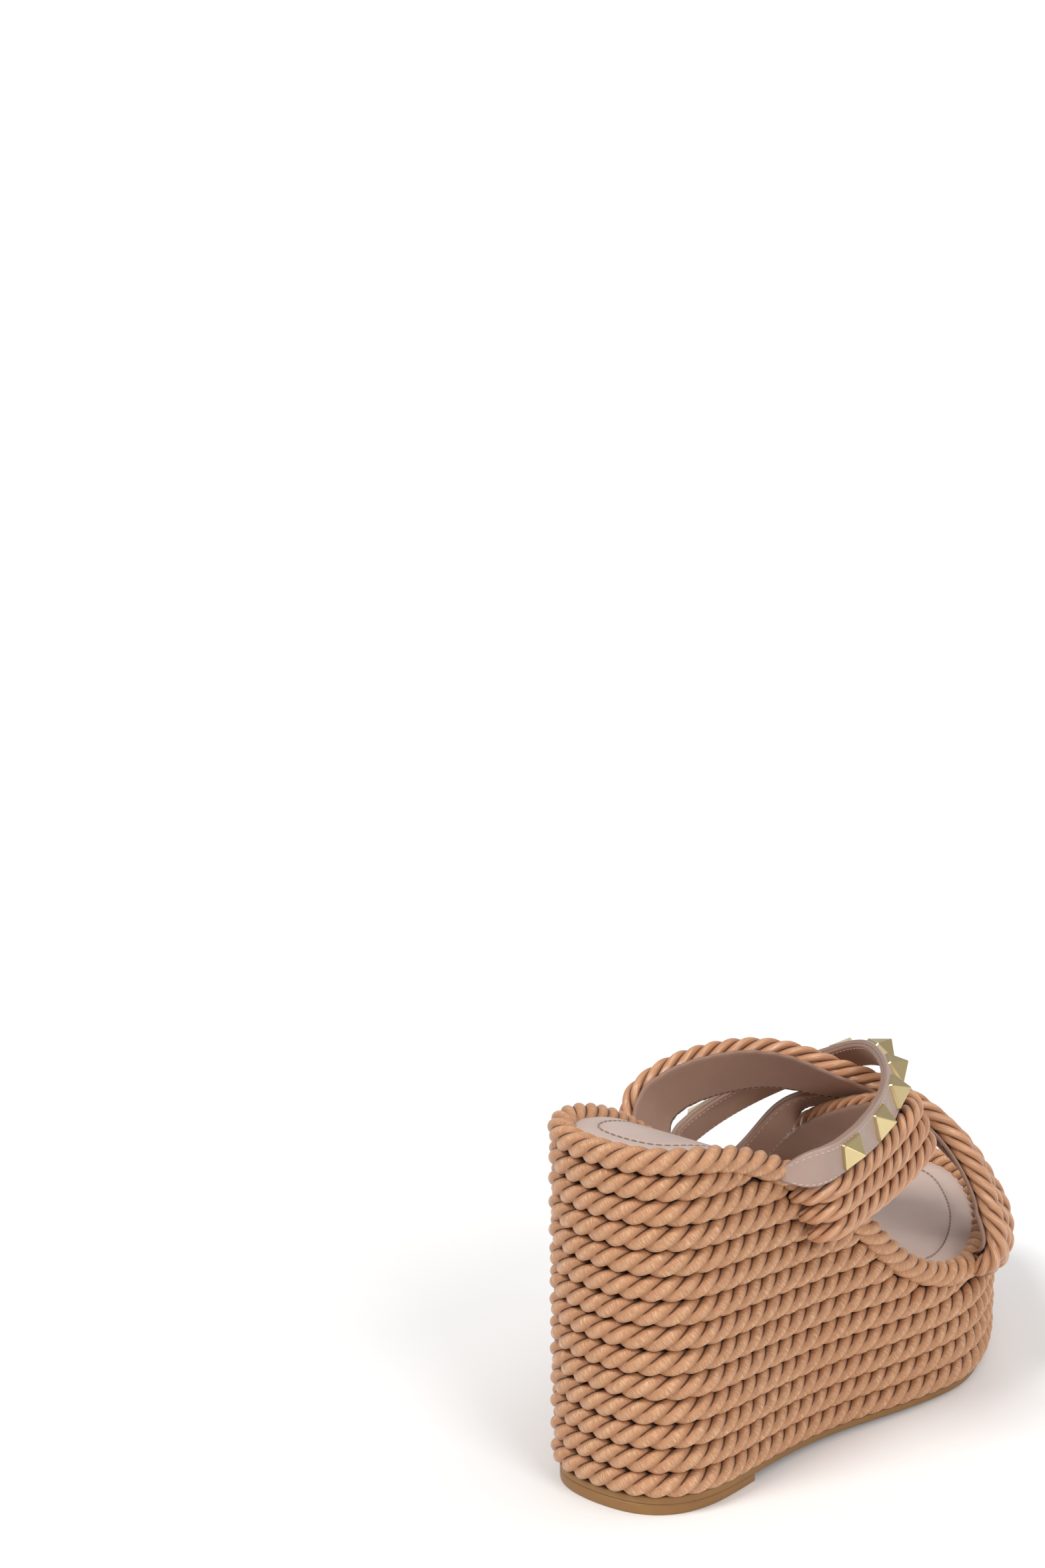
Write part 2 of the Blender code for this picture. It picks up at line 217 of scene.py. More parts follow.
def make_mesh(name, verts, faces, material, smooth=True, attributes=(), uv=None, wrap=None):
    """Mesh object from millimetres; wrap gives the quads and the span of a uv that closes on itself."""
    mesh = bpy.data.meshes.new(name)
    mesh.from_pydata(((np.asarray(verts, float) - ORIGIN) * MM).tolist(), [], faces)
    for key, values in attributes:
        layer = mesh.attributes.new(key, "FLOAT", "POINT")
        layer.data.foreach_set("value", np.asarray(values, np.float32))
    if uv is not None:
        layer = mesh.uv_layers.new(name="UVMap")
        loops = np.empty(len(mesh.loops), np.int32)
        mesh.loops.foreach_get("vertex_index", loops)
        corner = np.asarray(uv, float)[loops]
        if wrap is not None:
            quads = corner[:wrap[0] * 4].reshape(-1, 4, 2)
            for axis, span in ((0, wrap[1]), (1, 1.0)):
                split = np.ptp(quads[:, :, axis], axis=1) > span / 2
                quads[split, :, axis] += span * (quads[split, :, axis] < span / 2)
        layer.data.foreach_set("uv", corner.astype(np.float32).ravel())
    if smooth:
        mesh.shade_smooth()
    mesh.materials.append(material)
    obj = bpy.data.objects.new(name, mesh)
    bpy.context.scene.collection.objects.link(obj)
    return obj


def grid_faces(rows, cols, wrap_rows=False, wrap_cols=False):
    """Quads of a grid of rows by cols points."""
    faces = []
    for r in range(rows if wrap_rows else rows - 1):
        r2 = (r + 1) % rows
        for c in range(cols if wrap_cols else cols - 1):
            c2 = (c + 1) % cols
            faces.append((r * cols + c, r * cols + c2, r2 * cols + c2, r2 * cols + c))
    return faces


def rope(name, path, out, radius, material, strands, lay, plump, closed=False, phase=0.0, step=1.0,
         taper=None, contact_shade=0):
    """Cord of plump strands twisted round the path; taper gives the radius factor per path point.

    The last argument adds painted shade where the cord touches: 0 nowhere, 1 below, 2 above and below.
    """
    table = np.hstack([path, out] + ([taper[:, None]] if taper is not None else []))
    table, total = resample(table, step, closed)
    centre, normal = table[:, :3], table[:, 3:6]
    scale = table[:, 6] if taper is not None else np.ones(len(table))
    if closed:
        tangent = unit(np.roll(centre, -1, 0) - np.roll(centre, 1, 0))
        turns = round(total / lay)
    else:
        tangent = unit(np.gradient(centre, axis=0))
        turns = total / lay
    normal = unit(normal - (normal * tangent).sum(1)[:, None] * tangent)
    side = np.cross(normal, tangent)
    per = 48 // strands
    k = np.linspace(-1, 1, per, endpoint=False)
    k = np.sign(k) * np.abs(k) ** 0.7
    lobe = k * math.pi / strands
    around = np.concatenate([lobe + i * 2 * math.pi / strands for i in range(strands)])
    groove = np.tile(np.abs(k), strands)
    shape = np.tile(plump * np.cos(lobe) + np.sqrt((1 - plump) ** 2 - (plump * np.sin(lobe)) ** 2), strands)
    count, ring = len(centre), len(around)
    s = np.arange(count) / (count if closed else count - 1)
    wobble = 0.12 * np.sin(2 * math.pi * (s * total / 61.0 + phase)) if not closed else 0.0
    angle = around[None] + (phase + 2 * math.pi * s * turns + wobble)[:, None]
    rad = radius * shape[None] * scale[:, None]
    verts = centre[:, None] + rad[..., None] * (np.cos(angle)[..., None] * normal[:, None]
                                               + np.sin(angle)[..., None] * side[:, None])
    verts = verts.reshape(-1, 3)
    rise = np.cos(angle) * normal[:, None, 2] + np.sin(angle) * side[:, None, 2]
    # painted shade in the creases between strands, weaker where the surface faces down
    shadow = np.tile(groove, (count, 1)) * np.clip(0.86 + 0.5 * rise, 0.55, 1)
    if contact_shade:
        # painted shade where the cord touches the cords above and below it
        touch = np.abs(rise) if contact_shade == 2 else -rise
        shadow = np.maximum(shadow, np.clip((touch - 0.80) / 0.18, 0, 1) * 0.94)
    faces = grid_faces(count, ring, wrap_rows=closed, wrap_cols=True)
    quads = len(faces)
    girth = np.tile((around + math.pi / strands) / (2 * math.pi), count)
    uv = np.stack([np.repeat(s * total * MM, ring), girth], 1)
    if not closed:
        for end, flip in ((0, False), (count - 1, True)):
            hub = len(verts)
            bulge = radius * scale[end] * (0.35 if flip else -0.35)
            verts = np.vstack([verts, centre[end] + tangent[end] * bulge])
            uv = np.vstack([uv, [[s[end] * total * MM, 0.5]]])
            base = end * ring
            for c in range(ring):
                a, b = base + c, base + (c + 1) % ring
                faces.append((hub, a, b) if flip else (hub, b, a))
    # the groove attribute carries this painted shade to the material
    g = np.concatenate([shadow.ravel(), np.zeros(len(verts) - count * ring)])
    faces = [f[::-1] for f in faces]
    return make_mesh(name, verts, faces, material, True, [("groove", g)], uv, (quads, total * MM))


def ribbon(name, path, out, across, profile, material, wave=None, narrow=None):
    """Strip whose closed section is given as (across, outward) pairs, scaled along by an optional wave."""
    profile = np.array(profile, float)
    w = np.repeat(profile[None, :, 0], len(path), 0)
    if narrow is not None:
        w = w * narrow[:, None]
    if wave is not None:
        w = w + np.sign(w) * wave[:, None] * (np.abs(w) > 0.8 * np.abs(w).max())
    verts = path[:, None] + w[..., None] * across[:, None] + profile[None, :, 1, None] * out[:, None]
    rows, cols = len(path), len(profile)
    faces = grid_faces(rows, cols, wrap_cols=True)
    faces += [tuple(range(cols))[::-1], tuple((rows - 1) * cols + i for i in range(cols))]
    flip = np.dot(np.cross(path[1] - path[0], across[0]), out[0]) > 0
    faces = [f if flip else f[::-1] for f in faces]
    length = run_length(path)
    uv = np.stack([np.repeat(length, cols) * MM, (w.ravel()) * MM], 1)
    edge = np.tile(np.abs(profile[:, 0]) / np.abs(profile[:, 0]).max(), rows)
    return make_mesh(name, verts.reshape(-1, 3), faces, material, True, [("edge", edge)], uv)


def strip_profile(width, low, high, crown=0.0, roll=0.45, cols=9):
    """Closed section of a strip with rolled edges."""
    half = width / 2
    top = [(x, high + crown * (1 - (x / half) ** 2)) for x in np.linspace(-half + roll, half - roll, cols)]
    bottom = [(x, low) for x in np.linspace(half - roll, -half + roll, cols)]
    mid = (low + high) / 2
    shoulder = half - roll * 0.3
    right = [(shoulder, high - (high - mid) * 0.35), (half, mid), (shoulder, low + (mid - low) * 0.35)]
    left = [(-x, z) for x, z in right[::-1]]
    return top + right + bottom + left


def capsules(name, centres, along, up, length, width, height, material):
    """Row of stitches: each a short rounded thread lying on the leather."""
    verts, faces = [], []
    ring = [(math.cos(a), math.sin(a)) for a in np.linspace(0, 2 * math.pi, 8, endpoint=False)]
    spans = [(-0.5, 0.25), (-0.38, 0.85), (0.0, 1.0), (0.38, 0.85), (0.5, 0.25)]
    for c, t, n in zip(centres, unit(along), unit(up)):
        b = np.cross(t, n)
        first = len(verts)
        for at, size in spans:
            for u, v in ring:
                lift = v * size * height / 2 - (1 - size) * height * 0.35
                verts.append(c + t * at * length + b * u * size * width / 2 + n * lift)
        for r in range(len(spans) - 1):
            for k in range(8):
                a, d = first + r * 8 + k, first + r * 8 + (k + 1) % 8
                faces.append((a, d, d + 8, a + 8))
        faces.append(tuple(first + k for k in range(8))[::-1])
        faces.append(tuple(first + (len(spans) - 1) * 8 + k for k in range(8)))
    return make_mesh(name, verts, faces, material, True)


def stitch_line(path, out, across, offset, lift, pitch, start, end):
    """Centre, direction and up vector of each stitch on a line beside the path."""
    length = run_length(path)
    at = np.arange(start + pitch / 2, end - pitch / 2, pitch)

    def pick(field):
        return np.stack([np.interp(at, length, field[:, k]) for k in range(3)], 1)

    line = path + across * offset
    return pick(line + out * lift), pick(np.gradient(line, axis=0)), pick(out)


# ---------------------------------------------------------------- materials

def new_material(name, colour, roughness, **values):
    """Principled material with its sockets set as named, _ standing for a space."""
    made = bpy.data.materials.new(name)
    made.use_nodes = True
    shader = made.node_tree.nodes["Principled BSDF"]
    shader.inputs["Base Color"].default_value = (*colour, 1)
    shader.inputs["Roughness"].default_value = roughness
    for key, value in values.items():
        shader.inputs[key.replace("_", " ")].default_value = value
    return made, made.node_tree.nodes, made.node_tree.links, shader


def srgb(r, g, b):
    """Linear colour from 0 to 255 values."""
    return tuple(((c / 255 + 0.055) / 1.055) ** 2.4 if c > 10 else c / 255 / 12.92 for c in (r, g, b))


def node(nodes, kind, **values):
    """New shader node with its inputs or properties set."""
    made = nodes.new(kind)
    for key, value in values.items():
        if key in made.inputs:
            made.inputs[key].default_value = value
        else:
            setattr(made, key, value)
    return made


def math_node(nodes, links, operation, a, b=None, c=None, clamp=False):
    """Output of a maths node on numbers or sockets."""
    made = nodes.new("ShaderNodeMath")
    made.operation = operation
    made.use_clamp = clamp
    for slot, value in zip(made.inputs, (a, b, c)):
        if value is None:
            continue
        if isinstance(value, (int, float)):
            slot.default_value = value
        else:
            links.new(value, slot)
    return made.outputs[0]


def mix_colour(nodes, links, factor, a, b):
    """Output of a mix of two colours or sockets."""
    made = nodes.new("ShaderNodeMix")
    made.data_type, made.blend_type = "RGBA", "MIX"
    for slot, value in zip((made.inputs[0], made.inputs[6], made.inputs[7]), (factor, a, b)):
        if isinstance(value, (int, float)):
            slot.default_value = value
        elif isinstance(value, tuple):
            slot.default_value = (*value, 1)
        else:
            links.new(value, slot)
    return made.outputs[2]


def rope_material(name, base, light, dark, roughness, radius, lay, across_threads, contrast, gap):
    """Satin cord: fine threads over each strand and a soft sheen, with painted highlight on the crown of each
    strand and painted shade between the threads, towards the grooves and in them.
    """
    made, nodes, links, shader = new_material(name, base, roughness, Sheen_Weight=0.18, Sheen_Roughness=0.3,
                                              Specular_IOR_Level=0.5)
    uv = node(nodes, "ShaderNodeUVMap", uv_map="UVMap")
    split = nodes.new("ShaderNodeSeparateXYZ")
    links.new(uv.outputs[0], split.inputs[0])
    girth = 2 * math.pi * radius
    tilt = 0.6 * girth
    length = math_node(nodes, links, "MULTIPLY", split.outputs[0], 1000.0)
    if across_threads:
        fine = math_node(nodes, links, "ADD", math_node(nodes, links, "MULTIPLY", length, 1 + tilt / lay),
                         math_node(nodes, links, "MULTIPLY", split.outputs[1], tilt))
        slow = math_node(nodes, links, "MULTIPLY", split.outputs[1], girth * 0.10)
    else:
        fine = math_node(nodes, links, "ADD", math_node(nodes, links, "MULTIPLY", split.outputs[1], girth),
                         math_node(nodes, links, "MULTIPLY", length, 0.12))
        slow = math_node(nodes, links, "MULTIPLY", length, 0.07)
    grain_place = nodes.new("ShaderNodeCombineXYZ")
    links.new(fine, grain_place.inputs[0])
    links.new(slow, grain_place.inputs[1])
    threads = node(nodes, "ShaderNodeTexNoise", Scale=2.2, Detail=2.0, Roughness=0.6)
    bundles = node(nodes, "ShaderNodeTexNoise", Scale=0.8, Detail=2.0, Roughness=0.6)
    coords = nodes.new("ShaderNodeTexCoord")
    patches = node(nodes, "ShaderNodeTexNoise", Scale=48.0, Detail=3.0)
    links.new(grain_place.outputs[0], threads.inputs["Vector"])
    links.new(grain_place.outputs[0], bundles.inputs["Vector"])
    links.new(coords.outputs["Object"], patches.inputs["Vector"])

    def spread(value, low, high, smooth=False):
        made_range = node(nodes, "ShaderNodeMapRange")
        if smooth:
            made_range.interpolation_type = "SMOOTHSTEP"
        made_range.inputs["From Min"].default_value, made_range.inputs["From Max"].default_value = low, high
        links.new(value, made_range.inputs["Value"])
        return made_range.outputs[0]

    attr = node(nodes, "ShaderNodeAttribute", attribute_name="groove")
    deep = spread(attr.outputs["Fac"], gap, gap + 0.17, True)
    crest = spread(attr.outputs["Fac"], 0.75, 0.0, True)
    thread = spread(threads.outputs["Fac"], 0.33, 0.67)
    bundle = spread(bundles.outputs["Fac"], 0.3, 0.7)
    # painted highlight: lighter threads on the crown of each strand
    lit = math_node(nodes, links, "MULTIPLY",
                    math_node(nodes, links, "MULTIPLY_ADD", thread, 0.7, 0.1), crest)
    tone = mix_colour(nodes, links, lit, base, light)
    # darker copy of the base: random mottle in bundles, and painted shade between threads and by the grooves
    shade_and_mottle = tuple(c * f for c, f in zip(base, (0.72, 0.64, 0.58)))
    tone = mix_colour(nodes, links, math_node(nodes, links, "MULTIPLY", bundle, 0.5 * contrast), tone, shade_and_mottle)
    # painted shade between the threads
    between = math_node(nodes, links, "MULTIPLY_ADD", thread, -0.5 * contrast, 0.5 * contrast)
    tone = mix_colour(nodes, links, between, tone, shade_and_mottle)
    rusty = tuple(c * f for c, f in zip(base, (0.95, 0.84, 0.78)))
    patch = math_node(nodes, links, "MULTIPLY", spread(patches.outputs["Fac"], 0.35, 0.7), 0.4)
    tone = mix_colour(nodes, links, patch, tone, rusty)
    # painted shade on each strand's flank towards the groove
    flank = spread(attr.outputs["Fac"], 0.45, 1.0, True)
    tone = mix_colour(nodes, links, math_node(nodes, links, "MULTIPLY", flank, 0.6), tone, shade_and_mottle)
    # painted shade in the grooves
    tone = mix_colour(nodes, links, math_node(nodes, links, "MULTIPLY", deep, 0.92), tone, dark)
    links.new(tone, shader.inputs["Base Color"])
    height = math_node(nodes, links, "MULTIPLY_ADD", thread, 0.8,
                       math_node(nodes, links, "MULTIPLY", bundle, 0.7))
    bump = node(nodes, "ShaderNodeBump", Strength=0.7 * contrast, Distance=0.00022)
    links.new(height, bump.inputs["Height"])
    links.new(bump.outputs[0], shader.inputs["Normal"])
    rough = math_node(nodes, links, "MULTIPLY_ADD", thread, -0.14,
                      math_node(nodes, links, "MULTIPLY_ADD", deep, 0.3, roughness + 0.07))
    links.new(rough, shader.inputs["Roughness"])
    return made


def leather_material(name, base, light, dark, roughness, grain=900.0):
    """Fine grained nappa with cloudy tone and tiny pores, darker where the edge attribute nears 1."""
    made, nodes, links, shader = new_material(name, base, roughness, Specular_IOR_Level=0.4,
                                              Sheen_Weight=0.08)
    coords = nodes.new("ShaderNodeTexCoord")
    clouds = node(nodes, "ShaderNodeTexNoise", Scale=32.0, Detail=4.0, Roughness=0.55)
    cells = node(nodes, "ShaderNodeTexVoronoi", Scale=grain)
    cells.feature = "DISTANCE_TO_EDGE"
    pores = node(nodes, "ShaderNodeTexNoise", Scale=grain * 1.6, Detail=2.0)
    creases = node(nodes, "ShaderNodeTexNoise", Scale=120.0, Detail=3.0, Roughness=0.6, Distortion=0.6)
    for texture in (clouds, cells, pores, creases):
        links.new(coords.outputs["Object"], texture.inputs["Vector"])
    cloud = node(nodes, "ShaderNodeMapRange")
    cloud.inputs["From Min"].default_value, cloud.inputs["From Max"].default_value = 0.3, 0.7
    links.new(clouds.outputs["Fac"], cloud.inputs["Value"])
    tone = mix_colour(nodes, links, math_node(nodes, links, "MULTIPLY", cloud.outputs[0], 0.6), base, light)
    creased = math_node(nodes, links, "MULTIPLY", creases.outputs["Fac"], 0.22)
    tone = mix_colour(nodes, links, creased, tone, dark)
    # darker at the edge mark: the cut edges of straps and linings, and painted shade along the footbed's
    # stitch line
    edge = node(nodes, "ShaderNodeAttribute", attribute_name="edge")
    rim = node(nodes, "ShaderNodeMapRange")
    rim.inputs["From Min"].default_value, rim.inputs["From Max"].default_value = 0.965, 1.0
    links.new(edge.outputs["Fac"], rim.inputs["Value"])
    darker = math_node(nodes, links, "MULTIPLY", rim.outputs[0], EDGE_DARKENING)
    tone = mix_colour(nodes, links, darker, tone, dark)
    links.new(tone, shader.inputs["Base Color"])
    cell_height = math_node(nodes, links, "MULTIPLY", cells.outputs["Distance"], 1.4, clamp=True)
    pore_height = math_node(nodes, links, "MULTIPLY", pores.outputs["Fac"], 0.4)
    height = math_node(nodes, links, "ADD", cell_height, pore_height)
    crease_height = math_node(nodes, links, "MULTIPLY", creases.outputs["Fac"], 1.2)
    height = math_node(nodes, links, "ADD", height, crease_height)
    bump = node(nodes, "ShaderNodeBump", Strength=0.35, Distance=GRAIN_DEPTH * MM)
    links.new(height, bump.inputs["Height"])
    links.new(bump.outputs[0], shader.inputs["Normal"])
    links.new(math_node(nodes, links, "MULTIPLY_ADD", clouds.outputs["Fac"], 0.18, roughness - 0.09),
              shader.inputs["Roughness"])
    return made


def metal_material(name, base, roughness):
    """Pale brushed metal with a little haze."""
    made, nodes, links, shader = new_material(name, base, roughness, Metallic=1.0)
    coords = nodes.new("ShaderNodeTexCoord")
    haze = node(nodes, "ShaderNodeTexNoise", Scale=140.0, Detail=3.0)
    brush = node(nodes, "ShaderNodeTexNoise", Scale=1800.0, Detail=2.0)
    for texture in (haze, brush):
        links.new(coords.outputs["Object"], texture.inputs["Vector"])
    darker = tuple(c * f for c, f in zip(base, (0.82, 0.78, 0.68)))
    hazy = math_node(nodes, links, "MULTIPLY", haze.outputs["Fac"], 0.5)
    links.new(mix_colour(nodes, links, hazy, base, darker), shader.inputs["Base Color"])
    links.new(math_node(nodes, links, "MULTIPLY_ADD", haze.outputs["Fac"], 0.16, roughness - 0.08),
              shader.inputs["Roughness"])
    bump = node(nodes, "ShaderNodeBump", Strength=0.05, Distance=0.00002)
    links.new(brush.outputs["Fac"], bump.inputs["Height"])
    links.new(bump.outputs[0], shader.inputs["Normal"])
    return made


# Each cord's second colour is painted highlight on strand crowns, its third painted shade in the grooves
ROPE = rope_material("rope_satin_wedge", srgb(193, 141, 101), srgb(248, 208, 168), srgb(60, 29, 13), 0.38,
                     ROPE_R, WEDGE_CORD["lay"], True, 1.0, 0.80)
BAND_ROPE = rope_material("rope_satin_band", srgb(190, 137, 100), srgb(248, 205, 165), srgb(48, 23, 11), 0.24,
                          BAND_ROPE_R, BAND_CORD["lay"], False, 0.65, 0.79)
LEATHER = leather_material("leather_upper", srgb(168, 143, 131), srgb(180, 155, 143), srgb(122, 96, 84), 0.40)
LINING = leather_material("leather_lining", srgb(168, 135, 117), srgb(184, 151, 133), srgb(118, 88, 72), 0.5)
SOCK = leather_material("leather_footbed", srgb(191, 168, 158), srgb(202, 181, 171), srgb(148, 124, 113),
                        0.42)
SOLE = leather_material("outsole_tan", srgb(142, 101, 54), srgb(156, 114, 64), srgb(96, 64, 30), 0.48, 500.0)
STITCH = leather_material("stitch_thread", srgb(200, 180, 170), srgb(216, 198, 190), srgb(160, 140, 129),
                          0.6, 2500.0)
# footbed thread: the footbed's taupe darkened, painted shade in its sunk stitch line
BED_STITCH = leather_material("stitch_footbed", srgb(150, 126, 113), srgb(165, 140, 128), srgb(115, 92, 80),
                              0.6, 2500.0)
SEAM = leather_material("seam_shadow", srgb(92, 68, 58), srgb(105, 80, 70), srgb(60, 42, 34), 0.7)
GOLD = metal_material("stud_metal", srgb(224, 204, 156), 0.32)
CORK = leather_material("wedge_cork", srgb(150, 112, 76), srgb(176, 138, 98), srgb(98, 66, 40), 0.85, 260.0)
FOAM = leather_material("footbed_foam", srgb(222, 214, 196), srgb(232, 226, 210), srgb(190, 180, 160),
                        0.9, 1400.0)
BOARD = leather_material("insole_board", srgb(140, 112, 84), srgb(158, 130, 100), srgb(104, 80, 58),
                         0.85, 700.0)


def place(obj, slot, *nodes_replaced):
    """Fixes a piece to the sandal, standing for the named CAD nodes; slot is not used."""
    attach(obj, "root")
    if nodes_replaced:
        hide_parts(*nodes_replaced)
    return obj


# ---------------------------------------------------------------- cords of the wedge

rim_path = settle(np.column_stack([RIM_LOOP, rim_z(RIM_LOOP[:, 1])]))


def side_out(loop):
    """Level unit vectors out of a closed plan outline."""
    run = unit(np.roll(loop, -1, 0) - np.roll(loop, 1, 0))
    return np.column_stack([run[:, 1], -run[:, 0], np.zeros(len(loop))])


rim_cord = rope("cord_rim", rim_path, side_out(RIM_LOOP), ROPE_R - RIM_EASE, ROPE, closed=True, phase=0.4,
                contact_shade=1, **WEDGE_CORD)
place(rim_cord, "rope_satin", "rim_rope")

for course in range(2, COURSES + 1):
    z = LOWEST_COURSE_Z + (COURSES - course) * COURSE_PITCH
    rise = (z - LOWEST_COURSE_Z) / (rim_z(RIM_LOOP[:, 1]) - LOWEST_COURSE_Z)
    plan = BASE_LOOP + (RIM_LOOP - BASE_LOOP) * rise[:, None]
    path = settle(np.column_stack([plan, np.full(len(plan), z)])) - side_out(plan) * COURSE_INSET
    apart = np.linalg.norm(path[:, None] - rim_path[None, ::3], axis=2).min(1)
    apart[rise > 1] = 0
    shift = (course * GOLDEN_ANGLE) % (2 * math.pi)
    if apart.min() > CLEAR_OF_RIM:
        made = rope(f"cord_course_{course:02d}", path, side_out(plan), ROPE_R, ROPE, closed=True, phase=shift,
                    contact_shade=2, **WEDGE_CORD)
    else:
        gone = np.flatnonzero(apart < INSIDE_RIM)
        order = np.arange(gone.max() + 1, len(path) + gone.min()) % len(path)
        near = np.clip((9.2 - apart[order]) / 7.0, 0, 1)
        line = path[order]
        line[:, 2] -= 1.8 * near
        line -= side_out(plan)[order] * (3.2 * near ** 2)[:, None]
        made = rope(f"cord_course_{course:02d}", line, side_out(plan)[order], ROPE_R, ROPE, phase=shift,
                    taper=1 - 0.3 * near ** 1.5, contact_shade=2, **WEDGE_CORD)
    place(made, "rope_satin", f"rope_course_{course:02d}")


# ---------------------------------------------------------------- footbed and sole

def under_foot(y):
    """Height of the footbed surface before it is padded."""
    return rim_z(y) + SOCK_ABOVE_RIM + fall(y) - DATUM


def footbed():
    """Lightly padded leather: level crown, edge rolled down to the rim cord, a sunk stitch line."""
    loop = inset(RIM_LOOP, BED_EDGE)
    lo, hi = loop[:, 1].min() + 0.05, loop[:, 1].max() - 0.05
    rows, cols = 230, 75
    s = np.linspace(0, 1, rows)
    s = 0.5 - 0.5 * np.cos(np.pi * (0.5 * s + 0.5 * (0.5 - 0.5 * np.cos(np.pi * s))))
    ys = lo + (hi - lo) * s
    ts = np.linspace(-1, 1, cols)
    ts = np.sin(ts * np.pi / 2) * 0.6 + ts * 0.4
    inner, outer = width_at(loop, ys)
    x = (inner + outer)[:, None] / 2 + (outer - inner)[:, None] / 2 * ts[None]
    y = np.repeat(ys[:, None], cols, 1)
    points = np.stack([x.ravel(), y.ravel()], 1)
    edge = np.concatenate([np.linalg.norm(points[i:i + 2000, None] - loop[None, ::2], axis=2).min(1)
                           for i in range(0, len(points), 2000)])
    pad = 1.3 * (1 - np.exp(-edge / 3.2)) - 1.1
    groove = -0.55 * np.exp(-((edge - STITCH_IN) / 0.85) ** 2)
    pillow = 0.35 * np.exp(-((edge - 4.6) / 2.6) ** 2)
    top = under_foot(points[:, 1]) + pad + groove + pillow
    low = under_foot(points[:, 1]) - 2.2
    count = rows * cols
    verts = np.vstack([np.column_stack([points, top]), np.column_stack([points, low])])
    faces = grid_faces(rows, cols)
    faces += [tuple(i + count for i in f[::-1]) for f in faces]
    around = list(range(cols)) + [r * cols + cols - 1 for r in range(1, rows)] \
        + [(rows - 1) * cols + c for c in range(cols - 2, -1, -1)] \
        + [r * cols for r in range(rows - 2, 0, -1)]
    for a, b in zip(around, around[1:] + around[:1]):
        faces.append((b, a, a + count, b + count))
    # edge mark along the sunk stitch line, for painted shade in the groove
    mark = np.exp(-((edge - STITCH_IN) / 0.9) ** 2)
    made = make_mesh("footbed_leather", verts, faces, SOCK,
                     attributes=[("edge", np.concatenate([mark, mark]) * 0.98)])
    line = inset(RIM_LOOP, BED_EDGE + STITCH_IN)
    line = np.column_stack([line, under_foot(line[:, 1]) + 0.05])
    path = resample(line, 2.9, closed=True)[0]
    t = unit(np.roll(path, -1, 0) - np.roll(path, 1, 0))
    n = unit(np.cross(t, np.cross(np.tile([0, 0, 1.0], (len(t), 1)), t)))
    return made, capsules("footbed_stitching", path, t, n, 2.3, 0.5, 0.45, BED_STITCH)


bed, bed_stitches = footbed()
place(bed, "leather_footbed", "sock_lining")
place(bed_stitches, "leather_footbed")


def plate(name, loop, low, high, material, y_to=None):
    """Flat layer of the sole with softened edges, cut off at y_to if that is given."""
    roll = PLATE_EDGE
    pts = loop[loop[:, 1] <= y_to] if y_to is not None else loop
    if y_to is not None:
        start = np.argmax(np.linalg.norm(np.diff(np.vstack([pts, pts[:1]]), axis=0), axis=1)) + 1
        pts = np.roll(pts, -start, 0)
    centre = pts.mean(0)
    rings = []
    for frac, by in ((0.0, roll), (0.12, 0.12 * roll), (0.5, 0.0), (0.88, 0.12 * roll), (1.0, roll)):
        shrunk = pts + unit(centre - pts) * by
        zl, zh = low(shrunk[:, 1]), high(shrunk[:, 1])
        rings.append(np.column_stack([shrunk, zl + (zh - zl) * frac]))
    rows, cols = len(rings), len(pts)
    faces = [f[::-1] for f in grid_faces(rows, cols, wrap_cols=True)]
    verts = np.vstack(rings)
    for r, flip in ((0, False), (rows - 1, True)):
        ring = [r * cols + i for i in range(cols)]
        faces.append(tuple(ring if not flip else ring[::-1]))
    faces = [f[::-1] for f in faces]
    return make_mesh(name, verts, faces, material, False)


def ground(y):
    return fall(y) - DATUM


def sole_top(y):
    return OUTSOLE_TOP + 0.2 + ground(y)


def sole_bottom(y):
    return OUTSOLE_TOP - OUTSOLE_T + ground(y)


outsole = plate("sole_leather", inset(BASE_LOOP, -1.5), sole_bottom, sole_top, SOLE)
place(outsole, "outsole_tan", "outsole")
lift = plate("heel_lift_leather", inset(BASE_LOOP, -1.45), np.zeros_like, sole_bottom, SOLE, LIFT_END_Y)
place(lift, "outsole_tan", "heel_lift")

for name, material in (("wedge_core", CORK), ("footbed_foam", FOAM), ("insole_board", BOARD)):
    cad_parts[name].data.materials.clear()
    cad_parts[name].data.materials.append(material)


# ---------------------------------------------------------------- bands

def tuck(path, first, last, reach=14.0):
    """Bends both ends of a route by the given vectors, so that they disappear between the wound cords."""
    length = run_length(path)
    return path + np.array(first) * (np.clip(1 - length / reach, 0, 1) ** 1.5)[:, None] \
        + np.array(last) * (np.clip(1 - (length[-1] - length) / reach, 0, 1) ** 1.5)[:, None]


def pinch(path, reach, least, least_first=None):
    """Width factor that narrows towards both ends."""
    length = run_length(path)
    first, last = (np.sin(np.clip(s / reach, 0, 1) * np.pi / 2) for s in (length, length[-1] - length))
    low = least if least_first is None else least_first
    return np.minimum(low + (1 - low) * first, least + (1 - least) * last)


# How far the heel-side end and the toe-side end of each route bend in between the wound cords
BAND_1_ROOTS = (5.5, 0.5, -7.0), (-5.0, 3.5, 1.0)
BAND_2_ROOTS = (-7.5, 8.0, -3.2), (7.0, 0.0, -5.0)
STRAP_A_ROOTS = (-6.6, 5.5, -3.4), (6.0, 0.0, -2.0)
STRAP_B_ROOTS = (7.0, 0.0, -5.0), (-6.0, 2.5, -4.0)
# Stations left off the heel-side end of each cord of a band, as in the CAD part
BAND_CUTS = {1: (0, 0, 0), 2: (0, 2, 4)}

